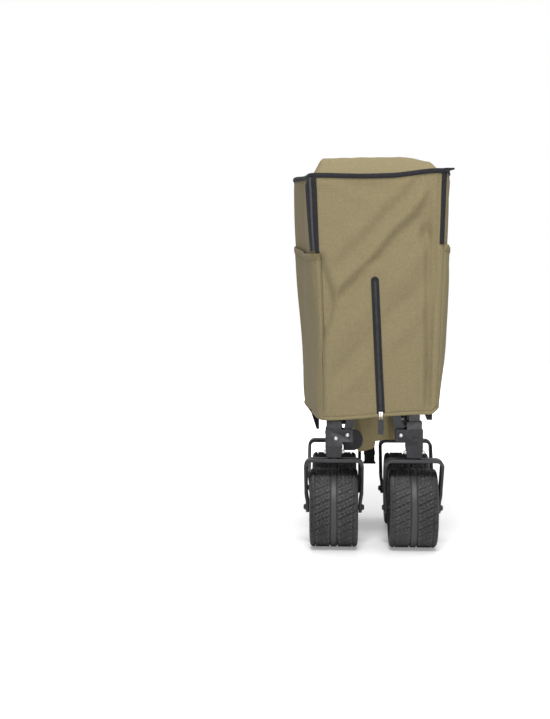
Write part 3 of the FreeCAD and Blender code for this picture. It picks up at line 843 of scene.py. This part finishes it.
# 1 on top of a block and 0 at the bottom of a groove
def treadHeight(angle, x):
    rib = 0.0062
    side = abs(x)
    height = smoothStep(0.0005, 0.0012, abs(side - rib - 0.0010))  # one groove each side of the smooth rib
    if side > rib + 0.0016:
        pitch = 2 * math.pi * tread["radius"] / tread["major"]
        lane = (angle * tread["radius"] + x * 0.50) / pitch
        major = abs(lane - round(lane)) * pitch
        height = min(height, smoothStep(0.0009, 0.0020, major))
        half = abs(lane * 2 - round(lane * 2)) * pitch / 2
        third = abs(lane * 4 - round(lane * 4)) * pitch / 4
        if 0.011 < side < 0.036:
            height = min(height, 0.30 + 0.70 * smoothStep(0.0005, 0.0013, half))
        if 0.016 < side < 0.030:
            height = min(height, 0.55 + 0.45 * smoothStep(0.0004, 0.0010, third))
        for column in (0.0155, 0.0230, 0.0300):
            cut = abs(side - column + 0.0016 * math.sin(lane * 2 * math.pi))
            height = min(height, 0.30 + 0.70 * smoothStep(0.0004, 0.0012, cut))
        if side > 0.036:
            height = min(height, smoothStep(0.0006, 0.0013, abs(side - 0.0368)))
            height = min(height, 0.3 + 0.7 * smoothStep(0.0005, 0.0012, third))
    return height


# outside of the tyre from one bead to the other: (x, radius, how much of the tread it has)
def tyreSection(share):
    half, top, round_ = tread["half"], tread["radius"], tread["shoulder"]
    wall = top - round_ - tread["inner"] - 0.004
    arc = round_ * math.pi / 2
    flat = 2 * (half - round_)
    total = 2 * wall + 2 * arc + flat
    run = share * total
    sign = -1
    if run > total / 2:
        run, sign = total - run, 1
    if run < wall:
        bulge = 0.0004 * math.sin(run / wall * math.pi)
        return sign * (half - tread["proud"] + bulge), tread["inner"] + 0.004 + run, 0.0
    if run < wall + arc:
        angle = (run - wall) / round_
        x = half - tread["proud"] - round_ + round_ * math.cos(angle)
        return sign * x, top - round_ + round_ * math.sin(angle), smoothStep(0.5, 1.1, angle)
    return sign * (half - tread["proud"] - round_ - (run - wall - arc)), top, 1.0


def buildTyre(label, centre, phase):
    def place(u, v):
        angle = u * 2 * math.pi
        x, radius, share = tyreSection(v)
        groove = (1 - treadHeight(angle + phase, x)) * tread["depth"] * share
        radius -= groove
        return Vector((centre[0] + x, centre[1] + radius * math.cos(angle), centre[2] + radius * math.sin(angle)))
    work = gridWork(tread["around"], tread["across"], place)
    bmesh.ops.remove_doubles(work, verts=work.verts[:], dist=0.00001)
    for sign in (-1, 1):  # each bead turns in to the seat on the rim
        rim = [e for e in work.edges if e.is_boundary and (e.verts[0].co.x - centre[0]) * sign > 0]
        made = bmesh.ops.extrude_edge_only(work, edges=rim)["geom"]
        fresh = [g for g in made if isinstance(g, bmesh.types.BMVert)]
        for v in fresh:
            out = Vector((0, v.co.y - centre[1], v.co.z - centre[2])).normalized() * (tread["inner"] + 0.0002)
            v.co = Vector((centre[0] + sign * 0.042, centre[1] + out.y, centre[2] + out.z))
    bmesh.ops.recalc_face_normals(work, faces=work.faces[:])
    return finishPiece("treadedTyre_" + label, work, rubber, "wheel_" + label, ("tyre_" + label,))


for index, (end, side) in enumerate(corners):
    label = end + "_" + side
    low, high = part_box("rim_" + label)
    middle = [(low[i] + high[i]) / 2 for i in range(3)]
    buildTyre(label, middle, index * 0.37)
print("tyres made")


fork = {"half": 0.060, "thick": 0.0068, "foot": 0.080, "knee": 0.118, "corner": 0.012, "pinch": 0.003,
        "widths": (0.0115, 0.0155, 0.017), "footTop": 0.0811, "footDrop": 0.0112, "edge": 0.0009}


# front and back of the strap at a height
def forkWidth(z, top, pivotY, axleY):
    share = min(1.0, max(0.0, (z - fork["knee"]) / (top - 0.012 - fork["knee"])))
    low = min(1.0, max(0.0, (z - fork["foot"]) / (fork["knee"] - fork["foot"])))
    foot, knee, crest = fork["widths"]
    half = blendValue((blendValue((foot, knee), low), crest), share)
    middle = blendValue((axleY, pivotY), share)
    return middle - half, middle + half


def buildFork(label):
    pivot = jointPlace["swivel_" + label]
    axleY = jointPlace["spin_" + label].y
    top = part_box("fork_" + label)[1][2]
    middle = fork["half"] - fork["thick"] / 2
    heights = (0.069, 0.074, 0.080, 0.086, 0.093, 0.102, 0.110, 0.118, 0.130, 0.142, 0.154, 0.164)
    line = []
    for sign in (-1, 1):
        leg = [Vector((sign * (middle - fork["pinch"] * smoothStep(0.112, 0.088, z)), 0, z)) for z in heights]
        bend = []
        for step in range(7):
            angle = math.pi / 2 * step / 6
            r = fork["corner"]
            bend.append(Vector((sign * (middle - r + r * math.cos(angle)), 0,
                                top - fork["thick"] / 2 - r + r * math.sin(angle))))
        half = leg + bend
        line = half if sign == -1 else line + half[::-1]
    work = bmesh.new()
    ring = [work.verts.new((pivot.x + p.x, 0, p.z)) for p in line]
    edges = [work.edges.new((a, b)) for a, b in zip(ring, ring[1:])]
    made = bmesh.ops.extrude_edge_only(work, edges=edges)["geom"]
    fresh = {g for g in made if isinstance(g, bmesh.types.BMVert)}
    for v in work.verts:
        low, high = forkWidth(v.co.z, top, pivot.y, axleY)
        if v.co.z < fork["footTop"]:  # round the foot about the axle
            drop = min(1.0, max(0.0, (fork["foot"] - v.co.z) / fork["footDrop"]))
            reach = fork["widths"][0] * math.sqrt(max(0.04, 1 - drop ** 2))
            low, high = axleY - reach, axleY + reach
        v.co.y = high if v in fresh else low
    bmesh.ops.recalc_face_normals(work, faces=work.faces[:])
    inside = sum(1 for f in work.faces if f.normal.z < -0.5)
    if inside:
        bmesh.ops.reverse_faces(work, faces=work.faces[:])
    piece = finishPiece("forkStrap_" + label, work, blackSteel, "caster_" + label,
                        ("fork_" + label,))
    addSolidify(piece, fork["thick"], 0.0)
    edge = piece.modifiers.new("edges", "BEVEL")
    edge.width = fork["edge"]
    edge.segments = 2
    edge.limit_method = "ANGLE"
    edge.angle_limit = 0.7


# out and side: how far the heads stand from the swivel; heads: radius and height
rivet = {"out": 0.017, "side": 0.0168, "back": 0.009, "small": (0.0042, 0.0024), "large": (0.0044, 0.0044)}


# domed rivet head with a dimple, its flat side at place
def buildRivet(work, place, direction, radius, proud):
    place, direction = Vector(place), Vector(direction).normalized()
    steps = ((0.0, 1.0), (0.35, 0.97), (0.75, 0.80), (1.0, 0.50))
    for (h0, r0), (h1, r1) in zip(steps, steps[1:]):
        addRod(work, place + direction * proud * h0, place + direction * proud * h1, radius * r0, radius * r1, 24)
    addRod(work, place + direction * proud * 0.9, place + direction * proud * 1.12, radius * 0.5, radius * 0.42, 24)


# dimpled heads on the brackets and on the sides of the caster mounts, and the pin ends between
def buildRivets():
    work = bmesh.new()
    pins = bmesh.new()
    out, side = rivet["out"], rivet["side"]
    mountZ = (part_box("caster_mounts")[0][2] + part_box("caster_mounts")[1][2]) / 2
    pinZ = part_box("scissor_pins")[0][2] + 0.003
    for end, sign in (("rear", -1), ("front", 1)):
        y = jointPlace["swivel_" + end + "_left"].y
        buildRivet(work, (-0.076, y + sign * out, 0.228), (0, sign, 0), *rivet["small"])
        for x in (-0.053, 0.053):
            buildRivet(pins, (x, y + sign * (out + 0.0012), pinZ), (0, sign, 0), *rivet["small"])
        for x in (-0.080, 0.080):
            for hand in (-1, 1):
                buildRivet(work, (x + hand * side, y - rivet["back"], mountZ), (hand, -1.2, 0.1), *rivet["large"])
    finishPiece("rivetHeads", work, brightSteel, "frame", ("rivet_heads",))
    finishPiece("pinHeads", pins, brightSteel, "frame")
    bolt = bmesh.new()
    y = jointPlace["swivel_rear_right"].y - out
    addRod(bolt, (0.082, y, 0.2275), (0.082, y - 0.0016, 0.2275), 0.0052, 0.0050, 24)
    addRod(bolt, (0.082, y - 0.0016, 0.2275), (0.082, y - 0.0046, 0.2275), 0.0040, 0.0036, 6)
    finishPiece("bracketBolt", bolt, darkSteel, "frame", smooth=False)


# washer, nut and bolt end: start, end, two radii and sides
axleEnd = {"rings": ((0.0, 0.0010, 0.0070, 0.0070, 32), (0.0010, 0.0040, 0.0058, 0.0058, 6),
                     (0.0040, 0.0050, 0.0044, 0.0038, 24)), "bolt": 0.005, "edge": 0.0004}


# lock nut and washer on each end of the axle, over the plain bolt
def buildAxleCap(label):
    spin = jointPlace["spin_" + label]
    work = bmesh.new()
    for sign in (-1, 1):
        x = spin.x + sign * (fork["half"] - fork["pinch"])
        for start, end, low, high, sides in axleEnd["rings"]:
            addRod(work, (x + sign * start, spin.y, spin.z), (x + sign * end, spin.y, spin.z), low, high, sides)
    reach = fork["half"] - fork["pinch"]
    addRod(work, (spin.x - reach, spin.y, spin.z), (spin.x + reach, spin.y, spin.z), axleEnd["bolt"], axleEnd["bolt"],
           32)
    bevelAll(work, axleEnd["edge"], 2, 0.7)
    finishPiece("axleBolt_" + label, work, darkSteel, "caster_" + label, ("axle_" + label,),
                smooth=False)


for end, side in corners:
    buildFork(end + "_" + side)
    buildAxleCap(end + "_" + side)
buildRivets()
print("forks and rivets made")


def paint(node, material):
    target = bpy.data.objects[node]
    target.data.materials.clear()
    target.data.materials.append(material)


slotMaterial = {
    "tyre_rubber": rubber, "rim_plastic": rimPlastic, "bearing_plastic": greyPlastic, "black_steel": blackSteel,
    "dark_fastener": darkSteel, "black_moulding": moulding, "handle_tube": tubeMetal, "grip_rubber": softGrip,
    "bright_rivet": brightSteel, "tub_cloth": tubKhakiPaintedLight, "black_tape": blackTape, "zip_metal": nickel,
    "pull_plastic": pullPlastic, "cover_cloth": khaki,
}
roundedNodes = {
    "brackets_rear": 0.0022, "brackets_front": 0.0022, "caster_mounts": 0.0030, "post_sliders": 0.0016,
    "post_caps": 0.0010, "handle_bracket": 0.0007, "handle_stays": 0.0007, "handle_collar": 0.0010,
    "post_rear_left": 0.0012, "post_rear_right": 0.0012, "post_front_left": 0.0012, "post_front_right": 0.0012,
    "handle_grip": 0.0006, "end_bars_rear": 0.0010, "end_bars_front": 0.0010, "side_bars_left": 0.0010,
    "side_bars_right": 0.0010,
}
for end, side in corners:
    roundedNodes["rim_" + end + "_" + side] = 0.0012
    roundedNodes["swivel_stem_" + end + "_" + side] = 0.0008

for node, width in roundedNodes.items():
    softened(node, slotMaterial[slotOf[node]], width)
for node in slotOf:
    if node in bpy.data.objects:
        paint(node, slotMaterial[slotOf[node]])
print("frame parts finished")
